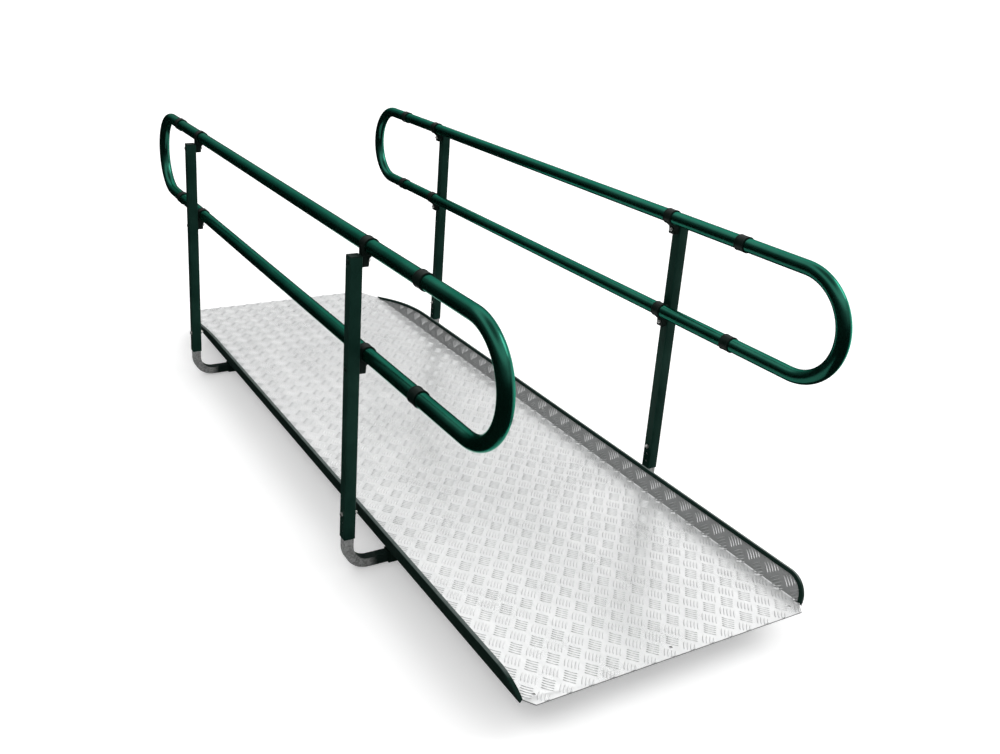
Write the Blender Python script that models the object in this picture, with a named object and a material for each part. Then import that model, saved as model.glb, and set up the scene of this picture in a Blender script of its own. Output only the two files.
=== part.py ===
"""Portable wheelchair ramp with folded kerbs and two removable handrails.

Metres, +Z up. X runs across the ramp, +Y runs up it from the near (low) end to the far (high) end,
and the deck is modelled level. The origin is under the middle of the ramp, on the plane that it rests on.
"""
import math

import bmesh
import bpy
from mathutils import Vector

# Deck and kerbs
CLEAR_WIDTH = 0.915
KERB_LENGTH = 2.757
SHEET = 0.0035
NEAR_LIP = 0.030
FAR_LIP = 0.112
LIP_HALF_WIDTH_NEAR = 0.434
LIP_HALF_WIDTH_FAR = 0.400
LIP_CORNER = 0.012
LIP_CORNER_START = 0.80
LIP_SHOULDER = 0.005
KERB_SLANT = 0.065
KERB_SPLAY = math.radians(20.0)
KERB_NEAR_ROUND = 0.070
KERB_FAR_TAPER = 0.460
FIXING_HOLE = 0.009
FIXING_COLUMNS = (-0.420, 0.0, 0.420)
FIXING_ROWS = (0.003, 2.698, 2.773)

# Kerb trim
TRIM_SKIN = 0.003
TRIM_OUTER_SKIN = 0.004
TRIM_LIP = 0.005
TRIM_FOOT = 0.001

# Supports under the deck
CROSS_TUBE = 0.038
CROSS_WALL = 0.0034
CROSS_HALF_LENGTH = 0.430
CROSS_AXIS_BELOW_DECK = 0.076
STRINGER_WIDTH = 0.025
STRINGER_WALL = 0.0025
STRINGER_COLUMNS = (("left", -0.360), ("centre", 0.0), ("right", 0.360))
STRINGER_NEAR = 0.060
STRINGER_FAR = 2.700

# Handrail bracket, one square tube bent into a J
BRACKET_TUBE = 0.0305
BRACKET_WALL = 0.0025
BRACKET_RADIUS = 0.066
BRACKET_ARM_END = 0.280
BRACKET_ABOVE_BOLT = 0.012

# Posts
POST_X = 0.5608
POST_TUBE = 0.0355
POST_WALL = 0.0022
POST_NEAR = 0.788
POST_FAR = 2.350
POST_BOTTOM = 0.019
POST_TOP = 0.874
BOLT_HEIGHT = 0.097
HOLE_PITCH = 0.028
HOLES = 3
HEIGHT_TRAVEL = HOLE_PITCH * (HOLES - 1)
CAP_THICK = 0.004
CAP_PLUG = 0.006

# Rails and end loops
RAIL_X = 0.5180
RAIL_DIAMETER = 0.0424
RAIL_WALL = 0.0026
TOP_RAIL = 0.900
MID_RAIL = 0.592
NEAR_TIP = 0.055
FAR_TIP = 2.945
NEAR_JOIN = 0.472
FAR_JOIN = 2.635
COLLAR_WIDTH = 0.036
COLLAR_WALL = 0.003

# Rail brackets
CLAMP_WIDTH = 0.034
CLAMP_WALL = 0.003
LUG_WIDTH = 0.026
LUG_DROP = 0.056
LUG_THICK = 0.020
LUG_BOLT_DROP = 0.040
LUG_CHAMFER = 0.004
LUG_ROOT = (-0.017, -0.0175)
LUG_SHOULDER = 0.031
LUG_TOP = 0.002

# Fasteners
BOLT_DIAMETER = 0.008
BOLT_HOLE = 0.0088
HEAD_ACROSS_FLATS = 0.013
HEAD_THICK = 0.0053
NUT_THICK = 0.0065
CLAMP_BOLT_TAIL = 0.003
FOOT_BOLT_TAIL = 0.004

GAP = 0.0003
ROUND_SIDES = 16
LOOP_STEPS = 10
BEND_STEPS = 8

DECK_TOP = CROSS_AXIS_BELOW_DECK + CROSS_TUBE / 2
CROSS_AXIS = DECK_TOP - CROSS_AXIS_BELOW_DECK
MID_LENGTH = (FAR_TIP - NEAR_LIP) / 2
HALF_WIDTH = CLEAR_WIDTH / 2
RAIL_RADIUS = RAIL_DIAMETER / 2
LOOP_RADIUS = (TOP_RAIL - MID_RAIL) / 2
POST_INNER_FACE = POST_X - POST_TUBE / 2
SIDES = (("left", -1), ("right", 1))
ENDS = (("near", POST_NEAR), ("far", POST_FAR))


def along(distance):
    """World Y of a distance from the near end of the kerbs."""
    return distance - MID_LENGTH


def above(height):
    """World Z of a height above the deck's top face."""
    return DECK_TOP + height


def clear_scene():
    for thing in list(bpy.data.objects):
        bpy.data.objects.remove(thing, do_unlink=True)


def material(name, colour, metallic, roughness):
    made = bpy.data.materials.new(name)
    made.use_nodes = True
    shader = made.node_tree.nodes["Principled BSDF"]
    shader.inputs["Base Color"].default_value = (*colour, 1.0)
    shader.inputs["Metallic"].default_value = metallic
    shader.inputs["Roughness"].default_value = roughness
    return made


def make_materials():
    return {
        "tread": material("tread_aluminium", (0.80, 0.80, 0.80), 0.9, 0.38),
        "green": material("green_powder_coat", (0.010, 0.085, 0.060), 0.0, 0.42),
        "galvanised": material("galvanised_steel", (0.42, 0.43, 0.43), 0.9, 0.55),
        "collar": material("black_nylon", (0.030, 0.030, 0.028), 0.0, 0.55),
        "bolt": material("zinc_plated_steel", (0.62, 0.62, 0.60), 1.0, 0.35),
    }


def empty(name, location, parent=None):
    """A joint's frame: an empty that the moving pieces hang from."""
    made = bpy.data.objects.new(name, None)
    bpy.context.collection.objects.link(made)
    made.parent = parent
    made.location = Vector(location) - world_place(parent)
    return made


def world_place(thing):
    place = Vector((0.0, 0.0, 0.0))
    while thing is not None:
        place += thing.location
        thing = thing.parent
    return place


def add(name, bm, location, finish, parent=None, smooth=False):
    """Turn a bmesh built about its own origin into a named object at a world location."""
    bmesh.ops.recalc_face_normals(bm, faces=bm.faces)
    mesh = bpy.data.meshes.new(name)
    bm.to_mesh(mesh)
    bm.free()
    mesh.materials.append(finish)
    if smooth:
        mesh.shade_smooth()
        mesh.set_sharp_from_angle(angle=math.radians(40.0))
    made = bpy.data.objects.new(name, mesh)
    bpy.context.collection.objects.link(made)
    made.parent = parent
    made.location = Vector(location) - world_place(parent)
    return made


def cutter(name, bm, location, finish, parent=None):
    made = add(name, bm, location, finish, parent)
    made.hide_render = True
    made.display_type = "WIRE"
    return made


def combine(target, tool, operation):
    change = target.modifiers.new(operation.lower(), "BOOLEAN")
    change.operation = operation
    change.solver = "EXACT"
    change.object = tool
    return target


# Section outlines, as (a, b) pairs


def square_section(size):
    half = size / 2
    return [(-half, -half), (half, -half), (half, half), (-half, half)]


def round_section(radius, sides=ROUND_SIDES):
    turns = [2 * math.pi * step / sides for step in range(sides)]
    return [(radius * math.cos(turn), radius * math.sin(turn)) for turn in turns]


def hex_section(across_flats):
    """A hexagon with a point at each corner and at the middle of each side, to match a 12-sided bore."""
    flat = across_flats / 2
    corner = across_flats / math.sqrt(3.0)
    points = []
    for step in range(12):
        turn = math.pi / 6 * step
        reach = corner if step % 2 == 0 else flat
        points.append((reach * math.cos(turn), reach * math.sin(turn)))
    return points


# Solids from sections


def ring_at(bm, centre, side_axis, up_axis, section):
    return [bm.verts.new(Vector(centre) + side_axis * a + up_axis * b) for a, b in section]


def bridge(bm, rings):
    for first, second in zip(rings, rings[1:]):
        count = len(first)
        for index in range(count):
            after = (index + 1) % count
            bm.faces.new((first[index], first[after], second[after], second[index]))


def swept(path, side_axis, outer, inner=None):
    """A section carried along (point, tangent) pairs in the plane square to side_axis."""
    bm = bmesh.new()
    rings = []
    bores = []
    for point, tangent in path:
        up_axis = side_axis.cross(tangent).normalized()
        rings.append(ring_at(bm, point, side_axis, up_axis, outer))
        if inner:
            bores.append(ring_at(bm, point, side_axis, up_axis, inner))
    bridge(bm, rings)
    if inner:
        bridge(bm, bores)
        bridge(bm, [rings[0], bores[0]])
        bridge(bm, [rings[-1], bores[-1]])
    else:
        bm.faces.new(rings[0])
        bm.faces.new(rings[-1])
    return bm


def straight(start, end, side_axis, outer, inner=None):
    run = (Vector(end) - Vector(start)).normalized()
    return swept([(start, run), (end, run)], side_axis, outer, inner)


def stacked(stages, axis, side_axis):
    """Sections of different sizes stacked along an axis: (distance, section) pairs, closed at both ends."""
    bm = bmesh.new()
    up_axis = side_axis.cross(axis).normalized()
    rings = [ring_at(bm, axis * distance, side_axis, up_axis, section) for distance, section in stages]
    bridge(bm, rings)
    bm.faces.new(rings[0])
    bm.faces.new(rings[-1])
    return bm


def prism(outline, place, depth):
    """An outline of (u, v) pairs turned into a slab; place maps (u, v, w) to a point."""
    bm = bmesh.new()
    layers = [[bm.verts.new(place(u, v, w)) for u, v in outline] for w in depth]
    bridge(bm, layers)
    bm.faces.new(layers[0])
    bm.faces.new(layers[1])
    return bm


X_AXIS = Vector((1.0, 0.0, 0.0))
Y_AXIS = Vector((0.0, 1.0, 0.0))
Z_AXIS = Vector((0.0, 0.0, 1.0))


# Deck


def kerb_line(offset=0.0):
    """The kerb's upper edge as (distance, slant height) pairs, moved outward by offset."""
    points = []
    for step in range(BEND_STEPS + 1):
        turn = math.pi / 2 * step / BEND_STEPS
        points.append((KERB_NEAR_ROUND * (1 - math.cos(turn)), KERB_SLANT * math.sin(turn)))
    for step in range(BEND_STEPS + 1):
        share = 1 - step / BEND_STEPS
        height = KERB_SLANT * math.sin(math.pi / 2 * share)
        points.append((KERB_LENGTH - KERB_FAR_TAPER * share, height))
    moved = []
    for index, point in enumerate(points):
        before = Vector(points[max(index - 1, 0)])
        after = Vector(points[min(index + 1, len(points) - 1)])
        run = (after - before).normalized()
        moved.append((point[0] - run.y * offset, point[1] + run.x * offset))
    return moved


def kerb_outline(offset, bottom):
    line = kerb_line(offset)
    return [(line[0][0], bottom)] + line + [(line[-1][0], bottom)]


def kerb_place(side):
    """Maps (distance, slant height, outward depth) to a point, for a kerb splayed outward."""
    up = Vector((side * math.sin(KERB_SPLAY), 0.0, math.cos(KERB_SPLAY)))
    out = Vector((side * math.cos(KERB_SPLAY), 0.0, -math.sin(KERB_SPLAY)))
    base = Vector((side * HALF_WIDTH, 0.0, 0.0))
    return lambda u, v, w: base + Y_AXIS * u + up * v + out * w


def deck_outline():
    edge = HALF_WIDTH + SHEET / 2
    right = [
        (LIP_HALF_WIDTH_NEAR, -NEAR_LIP),
        (HALF_WIDTH - LIP_SHOULDER, 0.0),
        (edge, 0.0),
        (edge, KERB_LENGTH),
        (LIP_HALF_WIDTH_FAR + LIP_CORNER, KERB_LENGTH + FAR_LIP * LIP_CORNER_START),
        (LIP_HALF_WIDTH_FAR, KERB_LENGTH + FAR_LIP),
    ]
    left = [(-x, y) for x, y in reversed(right)]
    return right + left


def fixing_holes():
    bm = bmesh.new()
    for column in FIXING_COLUMNS:
        for row in FIXING_ROWS:
            centre = Vector((column, row, 0.0))
            section = round_section(FIXING_HOLE / 2, 12)
            low = ring_at(bm, centre - Z_AXIS * SHEET * 3, X_AXIS, Y_AXIS, section)
            high = ring_at(bm, centre + Z_AXIS * SHEET * 3, X_AXIS, Y_AXIS, section)
            bridge(bm, [low, high])
            bm.faces.new(low)
            bm.faces.new(high)
    return bm


def make_deck(finish):
    origin = (0.0, along(0.0), DECK_TOP)
    flat = prism(deck_outline(), lambda u, v, w: Vector((u, v, w)), (-SHEET, 0.0))
    deck = add("deck_plate", flat, origin, finish["tread"])
    for name, side in SIDES:
        slab = prism(kerb_outline(0.0, -SHEET / 2), kerb_place(side), (0.0, SHEET))
        kerb = cutter(name + "_kerb_fold", slab, origin, finish["tread"])
        combine(deck, kerb, "UNION")
    holes = cutter("fixing_holes", fixing_holes(), origin, finish["tread"])
    combine(deck, holes, "DIFFERENCE")


def make_kerb_trim(name, side, finish):
    """An edging over the kerb: a full outer skin, a rolled top and a short inner lip."""
    origin = (0.0, along(0.0), DECK_TOP)
    place = kerb_place(side)
    outside = SHEET + GAP + TRIM_OUTER_SKIN
    body = prism(kerb_outline(GAP + TRIM_SKIN, -SHEET), place, (-GAP - TRIM_SKIN, outside))
    trim = add(name + "_kerb_trim", body, origin, finish["green"])
    slot = prism(kerb_outline(GAP, -SHEET * 3), place, (-GAP, SHEET + GAP))
    window = prism(kerb_outline(-TRIM_LIP, -SHEET * 4), place, (-TRIM_SKIN * 3, SHEET / 2))
    before = -KERB_SLANT
    past = KERB_LENGTH + KERB_SLANT
    foot_line = [(before, before), (past, before), (past, TRIM_FOOT), (before, TRIM_FOOT)]
    foot = prism(foot_line, place, (-TRIM_SKIN * 4, SHEET + GAP / 2))
    for label, tool in (("slot", slot), ("window", window), ("foot", foot)):
        combine(trim, cutter(name + "_trim_" + label, tool, origin, finish["green"]), "DIFFERENCE")


# Supports


def make_stringer(name, column, finish):
    top = -SHEET - GAP
    bottom = -CROSS_AXIS_BELOW_DECK + CROSS_TUBE / 2 + GAP
    half = STRINGER_WIDTH / 2
    outer = [(-half, bottom), (half, bottom), (half, top), (-half, top)]
    thin = STRINGER_WALL
    inner = [
        (-half + thin, bottom + thin),
        (half - thin, bottom + thin),
        (half - thin, top - thin),
        (-half + thin, top - thin),
    ]
    length = STRINGER_FAR - STRINGER_NEAR
    bm = bmesh.new()
    rings = [ring_at(bm, Y_AXIS * y, X_AXIS, Z_AXIS, outer) for y in (0.0, length)]
    bores = [ring_at(bm, Y_AXIS * y, X_AXIS, Z_AXIS, inner) for y in (0.0, length)]
    bridge(bm, rings)
    bridge(bm, bores)
    bridge(bm, [rings[0], bores[0]])
    bridge(bm, [rings[1], bores[1]])
    add(name + "_stringer", bm, (column, along(STRINGER_NEAR), DECK_TOP), finish["galvanised"])


def make_cross_tube(name, distance, finish):
    outer = square_section(CROSS_TUBE)
    inner = square_section(CROSS_TUBE - 2 * CROSS_WALL)
    start = (-CROSS_HALF_LENGTH, 0.0, 0.0)
    end = (CROSS_HALF_LENGTH, 0.0, 0.0)
    tube = straight(start, end, Y_AXIS, outer, inner)
    add(name + "_cross_tube", tube, (0.0, along(distance), CROSS_AXIS), finish["green"])


def bracket_path(side):
    """From the arm's inner end, out along the socket, round the bend and up inside the post."""
    drop = -CROSS_AXIS_BELOW_DECK
    bend_x = POST_X - BRACKET_RADIUS
    bend_z = drop + BRACKET_RADIUS
    stub_top = BOLT_HEIGHT + HEIGHT_TRAVEL + BRACKET_ABOVE_BOLT
    outward = Vector((side, 0.0, 0.0))
    path = [((side * BRACKET_ARM_END, 0.0, drop), outward)]
    for step in range(BEND_STEPS + 1):
        turn = math.pi / 2 * step / BEND_STEPS
        reach = bend_x + BRACKET_RADIUS * math.sin(turn)
        height = bend_z - BRACKET_RADIUS * math.cos(turn)
        path.append(((side * reach, 0.0, height), Vector((side * math.cos(turn), 0.0, math.sin(turn)))))
    path.append(((side * POST_X, 0.0, stub_top), Z_AXIS))
    return path


def make_bracket(name, side, distance, parent, finish):
    outer = square_section(BRACKET_TUBE)
    inner = square_section(BRACKET_TUBE - 2 * BRACKET_WALL)
    place = (0.0, along(distance), DECK_TOP)
    bent = swept(bracket_path(side), Y_AXIS, outer, inner)
    bracket = add(name + "_bracket", bent, place, finish["galvanised"], parent, smooth=True)
    slot_line = [(-BOLT_HOLE / 2, BOLT_HEIGHT - BOLT_HOLE / 2)]
    slot_line += [(BOLT_HOLE / 2, BOLT_HEIGHT - BOLT_HOLE / 2)]
    slot_line += [(BOLT_HOLE / 2, BOLT_HEIGHT + HEIGHT_TRAVEL + BOLT_HOLE / 2)]
    slot_line += [(-BOLT_HOLE / 2, BOLT_HEIGHT + HEIGHT_TRAVEL + BOLT_HOLE / 2)]
    reach = (side * POST_X - POST_TUBE, side * POST_X + POST_TUBE)
    slot = prism(slot_line, lambda u, v, w: Vector((w, u, v)), reach)
    combine(bracket, cutter(name + "_bracket_slot", slot, place, finish["galvanised"], parent), "DIFFERENCE")


# Handrail


def cross_hole(bm, height, radius):
    """A cylinder along X through a post, for cutting its bolt holes."""
    section = round_section(radius, 12)
    near = ring_at(bm, (-POST_TUBE, 0.0, height), Y_AXIS, Z_AXIS, section)
    far = ring_at(bm, (POST_TUBE, 0.0, height), Y_AXIS, Z_AXIS, section)
    bridge(bm, [near, far])
    bm.faces.new(near)
    bm.faces.new(far)


def make_post(name, side, distance, parent, finish):
    outer = square_section(POST_TUBE)
    inner = square_section(POST_TUBE - 2 * POST_WALL)
    length = POST_TOP - POST_BOTTOM
    place = (side * POST_X, along(distance), above(POST_BOTTOM))
    tube = straight((0.0, 0.0, 0.0), (0.0, 0.0, length), X_AXIS, outer, inner)
    post = add(name + "_post", tube, place, finish["green"], parent)
    holes = bmesh.new()
    heights = [BOLT_HEIGHT - HOLE_PITCH * step for step in range(HOLES)]
    heights += [TOP_RAIL - LUG_BOLT_DROP, MID_RAIL - LUG_BOLT_DROP]
    for height in heights:
        cross_hole(holes, height - POST_BOTTOM, BOLT_HOLE / 2)
    combine(post, cutter(name + "_post_holes", holes, place, finish["green"], parent), "DIFFERENCE")


def make_cap(name, side, distance, parent, finish):
    plug = POST_TUBE - 2 * POST_WALL - 4 * GAP
    stages = [
        (-CAP_PLUG, square_section(plug)),
        (GAP, square_section(plug)),
        (GAP, square_section(POST_TUBE)),
        (CAP_THICK * 0.5, square_section(POST_TUBE)),
        (CAP_THICK, square_section(POST_TUBE * 0.72)),
    ]
    place = (side * POST_X, along(distance), above(POST_TOP))
    add(name + "_post_cap", stacked(stages, Z_AXIS, X_AXIS), place, finish["collar"], parent)


def make_rail(name, side, height, parent, finish):
    outer = round_section(RAIL_RADIUS)
    inner = round_section(RAIL_RADIUS - RAIL_WALL)
    start = (0.0, NEAR_JOIN + GAP / 2, 0.0)
    end = (0.0, FAR_JOIN - GAP / 2, 0.0)
    tube = straight(start, end, X_AXIS, outer, inner)
    place = (side * RAIL_X, along(0.0), above(height))
    add(name, tube, place, finish["green"], parent, smooth=True)


def loop_path(join, tip):
    """Along the top, round half a turn and back along the bottom, about the loop's own middle height."""
    way = 1.0 if tip > join else -1.0
    centre = tip - way * (RAIL_RADIUS + LOOP_RADIUS)
    path = [((0.0, join + way * GAP / 2, LOOP_RADIUS), Y_AXIS * way)]
    for step in range(LOOP_STEPS + 1):
        turn = math.pi * step / LOOP_STEPS
        point = (0.0, centre + way * LOOP_RADIUS * math.sin(turn), LOOP_RADIUS * math.cos(turn))
        path.append((point, Vector((0.0, way * math.cos(turn), -math.sin(turn)))))
    path.append(((0.0, join + way * GAP / 2, -LOOP_RADIUS), -Y_AXIS * way))
    return path


def make_loop(name, side, join, tip, parent, finish):
    outer = round_section(RAIL_RADIUS)
    inner = round_section(RAIL_RADIUS - RAIL_WALL)
    bent = swept(loop_path(join, tip), X_AXIS, outer, inner)
    place = (side * RAIL_X, along(0.0), above((TOP_RAIL + MID_RAIL) / 2))
    add(name, bent, place, finish["green"], parent, smooth=True)


def make_collar(name, side, join, height, parent, finish):
    outer = round_section(RAIL_RADIUS + GAP + COLLAR_WALL)
    inner = round_section(RAIL_RADIUS + GAP)
    half = COLLAR_WIDTH / 2
    ring = straight((0.0, -half, 0.0), (0.0, half, 0.0), X_AXIS, outer, inner)
    place = (side * RAIL_X, along(join), above(height))
    add(name, ring, place, finish["collar"], parent, smooth=True)


def make_clamp(name, side, distance, height, parent, finish):
    """A ring round the rail with a solid lug that bolts to the post's inner face."""
    place = (side * RAIL_X, along(distance), above(height))
    half = CLAMP_WIDTH / 2
    drum_line = round_section(RAIL_RADIUS + GAP + CLAMP_WALL)
    drum = straight((0.0, -half, 0.0), (0.0, half, 0.0), X_AXIS, drum_line)
    clamp = add(name, drum, place, finish["collar"], parent, smooth=True)
    face = POST_INNER_FACE - RAIL_X - GAP
    toe = face - LUG_THICK
    lug_line = [
        (toe, -LUG_DROP + LUG_CHAMFER),
        (toe + LUG_CHAMFER, -LUG_DROP),
        (face, -LUG_DROP),
        (face, LUG_TOP),
        (0.0, LUG_TOP),
        LUG_ROOT,
        (toe, -LUG_SHOULDER),
    ]
    width = (-LUG_WIDTH / 2, LUG_WIDTH / 2)
    lug = prism(lug_line, lambda u, v, w: Vector((side * u, w, v)), width)
    combine(clamp, cutter(name + "_lug", lug, place, finish["collar"], parent), "UNION")
    bore_line = round_section(RAIL_RADIUS + GAP)
    bore = straight((0.0, -half * 2, 0.0), (0.0, half * 2, 0.0), X_AXIS, bore_line)
    combine(clamp, cutter(name + "_bore", bore, place, finish["collar"], parent), "DIFFERENCE")
    hole = bmesh.new()
    cross_hole(hole, -LUG_BOLT_DROP, BOLT_HOLE / 2)
    combine(clamp, cutter(name + "_hole", hole, place, finish["collar"], parent), "DIFFERENCE")


def bolt_stages(head_start, head_end, shank_end, nut=None):
    """Hexagon head, round shank and, when given, the nut at the far end, as one turned stack."""
    shank = round_section(BOLT_DIAMETER / 2, 12)
    head = hex_section(HEAD_ACROSS_FLATS)
    stages = [(head_start, head), (head_end, head), (head_end, shank)]
    if nut:
        stages += [(nut[0], shank), (nut[0], head), (nut[1], head), (nut[1], shank)]
    stages += [(shank_end, shank)]
    return stages


def make_clamp_bolt(name, side, distance, height, parent, finish):
    """Hexagon-headed bolt from the post's outer face, through the post and the lug, with its nut."""
    outer_face = POST_X + POST_TUBE / 2 + GAP
    lug_face = POST_INNER_FACE - GAP - LUG_THICK - GAP
    reach = outer_face - lug_face
    nut_end = reach + NUT_THICK
    stages = bolt_stages(-HEAD_THICK, 0.0, nut_end + CLAMP_BOLT_TAIL, nut=(reach, nut_end))
    bolt = stacked(stages, X_AXIS * -side, Y_AXIS)
    place = (side * outer_face, along(distance), above(height - LUG_BOLT_DROP))
    add(name, bolt, place, finish["bolt"], parent, smooth=True)


def make_foot_bolt(name, side, distance, parent, finish):
    outer_face = POST_X + POST_TUBE / 2 + GAP
    reach = POST_TUBE + 2 * GAP
    stages = bolt_stages(-HEAD_THICK, 0.0, reach + NUT_THICK + FOOT_BOLT_TAIL)
    place = (side * outer_face, along(distance), above(BOLT_HEIGHT))
    bolt = stacked(stages, X_AXIS * -side, Y_AXIS)
    add(name + "_foot_bolt", bolt, place, finish["bolt"], parent, smooth=True)
    outer = hex_section(HEAD_ACROSS_FLATS)
    inner = round_section(BOLT_DIAMETER / 2 + GAP, 12)
    nut = straight((0.0, 0.0, 0.0), (-side * NUT_THICK, 0.0, 0.0), Y_AXIS, outer, inner)
    nut_place = (side * (POST_INNER_FACE - GAP), along(distance), above(BOLT_HEIGHT))
    add(name + "_foot_nut", nut, nut_place, finish["bolt"], parent)


def make_side(name, side, finish):
    socket = (side * CROSS_HALF_LENGTH, along(POST_NEAR), CROSS_AXIS)
    brackets = empty(name + "_bracket_slide", socket)
    foot = (side * POST_X, along(POST_NEAR), above(POST_BOTTOM))
    handrail = empty(name + "_height_slide", foot, brackets)
    for end, distance in ENDS:
        label = name + "_" + end
        make_bracket(label, side, distance, brackets, finish)
        make_post(label, side, distance, handrail, finish)
        make_cap(label, side, distance, handrail, finish)
        make_foot_bolt(label, side, distance, handrail, finish)
        for level, height in (("top", TOP_RAIL), ("mid", MID_RAIL)):
            clamp = label + "_" + level + "_clamp"
            make_clamp(clamp, side, distance, height, handrail, finish)
            make_clamp_bolt(clamp + "_bolt", side, distance, height, handrail, finish)
    for level, height in (("top", TOP_RAIL), ("mid", MID_RAIL)):
        make_rail(name + "_" + level + "_rail", side, height, handrail, finish)
        for end, join in (("near", NEAR_JOIN), ("far", FAR_JOIN)):
            collar = name + "_" + end + "_" + level + "_collar"
            make_collar(collar, side, join, height, handrail, finish)
    make_loop(name + "_near_loop", side, NEAR_JOIN, NEAR_TIP, handrail, finish)
    make_loop(name + "_far_loop", side, FAR_JOIN, FAR_TIP, handrail, finish)


def main():
    clear_scene()
    finish = make_materials()
    make_deck(finish)
    for name, column in STRINGER_COLUMNS:
        make_stringer(name, column, finish)
    for end, distance in ENDS:
        make_cross_tube(end, distance, finish)
    for name, side in SIDES:
        make_kerb_trim(name, side, finish)
        make_side(name, side, finish)


main()
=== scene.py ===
"""Looks for a portable wheelchair ramp: tread plate deck, splayed kerbs and two removable handrails.

Metres, +Z up. X runs across the ramp, +Y runs up it from the near (low) end to the far (high) end.
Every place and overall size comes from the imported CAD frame; the named sizes below are its details.
"""

import math

import bmesh
import bpy
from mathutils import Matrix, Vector


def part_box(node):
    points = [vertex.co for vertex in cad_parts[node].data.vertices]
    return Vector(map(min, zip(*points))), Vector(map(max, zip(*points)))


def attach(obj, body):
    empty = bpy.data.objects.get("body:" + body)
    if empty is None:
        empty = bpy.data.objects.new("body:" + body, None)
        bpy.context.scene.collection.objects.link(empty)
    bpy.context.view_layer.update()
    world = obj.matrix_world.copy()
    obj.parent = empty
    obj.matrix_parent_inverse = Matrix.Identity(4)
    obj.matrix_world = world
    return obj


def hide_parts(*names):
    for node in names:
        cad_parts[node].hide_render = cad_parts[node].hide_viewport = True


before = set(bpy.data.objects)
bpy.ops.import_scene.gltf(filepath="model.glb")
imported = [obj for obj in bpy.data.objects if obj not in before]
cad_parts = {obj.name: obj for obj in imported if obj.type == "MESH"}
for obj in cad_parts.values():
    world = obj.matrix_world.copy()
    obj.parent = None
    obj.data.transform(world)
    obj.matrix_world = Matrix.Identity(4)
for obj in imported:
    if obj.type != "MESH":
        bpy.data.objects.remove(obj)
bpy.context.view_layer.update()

X_AXIS = Vector((1.0, 0.0, 0.0))
Y_AXIS = Vector((0.0, 1.0, 0.0))
Z_AXIS = Vector((0.0, 0.0, 1.0))
SIDES = (("left", -1), ("right", 1))
ENDS = ("near", "far")
LEVELS = ("top", "mid")

# Camera: where it stands, its turns about X, Y and Z in degrees, and the frame's small shift
CAMERA_PLACE = (-1.651, -3.091, 1.770)
CAMERA_TURN = (70.08, -3.17, -28.75)
CAMERA_LENS = 37.56
CAMERA_SHIFT = (0.050, -0.060)

# Studio: the sun, and brightness as (direction, level) stops, where -1 is left or down and 1 is right or up
SUN_PLACE = (5.0, -0.8, 3.4)
SUN_ANGLE = math.radians(26.0)
LOW_SKY = ((0.0, 0.02), (0.10, 0.05), (0.24, 0.44), (0.38, 0.63), (0.55, 0.74), (0.85, 0.0))
SIDE_SKY = ((-1.0, 0.22), (-0.2, 0.40), (0.12, 0.80), (0.42, 1.12), (1.0, 0.95))
HIGH_SKY = ((0.48, 0.0), (0.72, 1.55), (0.88, 1.50), (0.96, 0.40))
RIGHT_WALL = ((0.70, 0.0), (0.95, 1.80))
WALL_HEIGHT = ((0.14, 1.0), (0.30, 0.0))
FLOOR_HALF_SIZE = 400.0
FLOOR_GLOW = 0.34

# Deck and kerbs; fixing holes are in columns from the middle and rows from the kerbs' near ends
CLEAR_WIDTH = 0.915
SHEET = 0.0035
NEAR_LIP = 0.030
FAR_LIP = 0.112
LIP_HALF_WIDTH_NEAR = 0.434
LIP_HALF_WIDTH_FAR = 0.400
LIP_CORNER = 0.012
LIP_CORNER_START = 0.80
KERB_SLANT = 0.065
KERB_SPLAY = math.radians(20.0)
KERB_NEAR_ROUND = 0.070
KERB_FAR_TAPER = 0.460
FOLD_RADIUS = 0.004
FIXING_HOLE = 0.009
FIXING_COLUMNS = (-0.420, 0.0, 0.420)
FIXING_ROWS = (0.003, 2.698, 2.773)

# Raised bars of the tread pattern, in groups of five; the grid starts off the deck's middle and near edge
# by shares of a pitch, and a bar's outline and top are shares of its foot's length and width
PATTERN_PITCH = 0.0642
PATTERN_STRETCH = 1.16
BAR_LENGTH = 0.0330
BAR_WIDTH = 0.0050
BAR_HEIGHT = 0.0018
BAR_SPACING = 0.0084
BARS = 5
PATTERN_ACROSS = -0.24
PATTERN_ALONG = 0.16
BAR_OUTLINE = ((-1.0, 0.0), (-0.62, 0.72), (0.0, 1.0), (0.62, 0.72))
BAR_TOP_LENGTH = 0.80
BAR_TOP_WIDTH = 0.34
BAR_SUNK = 0.0002
# Painted shade: vertex weights that darken one side of the feet of the bars leaning one way
FOOT_SHADE = "foot_shade_mask"

# Kerb trim
TRIM_SKIN = 0.003
TRIM_OUTER_SKIN = 0.004
TRIM_LIP = 0.009
TRIM_ROUND = 0.0022
TRIM_EASE = 0.0008
TRIM_FOOT = 0.001
TRIM_FOOT_SLOPE = 0.0015
TRIM_SHOULDER = 0.006

# Tubes and fittings; the brackets' dark green on the arm fades out between the two distances from the ramp's
# middle
RAIL_WALL = 0.0026
POST_WALL = 0.0022
POST_ROUND = 0.0030
POST_BORE_ROUND = 0.0012
BRACKET_TUBE = 0.0305
BRACKET_WALL = 0.0025
BRACKET_ROUND = 0.0028
BRACKET_BORE_ROUND = 0.001
BRACKET_RADIUS = 0.066
BRACKET_TIP = 0.0076
DARK_ARM = (0.468, 0.500)
HOLE_PITCH = 0.028
HOLES = 3
HOLE = 0.0088
BOLT_RADIUS = 0.004
THREAD_LENGTH = 0.008
THREAD_PITCH = 0.00125
HEX_FLATS = 0.013
HEAD_THICK = 0.0053
NUT_THICK = 0.0065
NUT_SETBACK = 0.003
LUG_THICK = 0.020
LUG_HALF_WIDTH = 0.013
LUG_EASE = 0.003
GAP = 0.0003

# The rivet, by its distance along the right kerb and up its slant
RIVET_PLACE = (1.306, 0.026)
RIVET_HEAD = 0.0095

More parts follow.
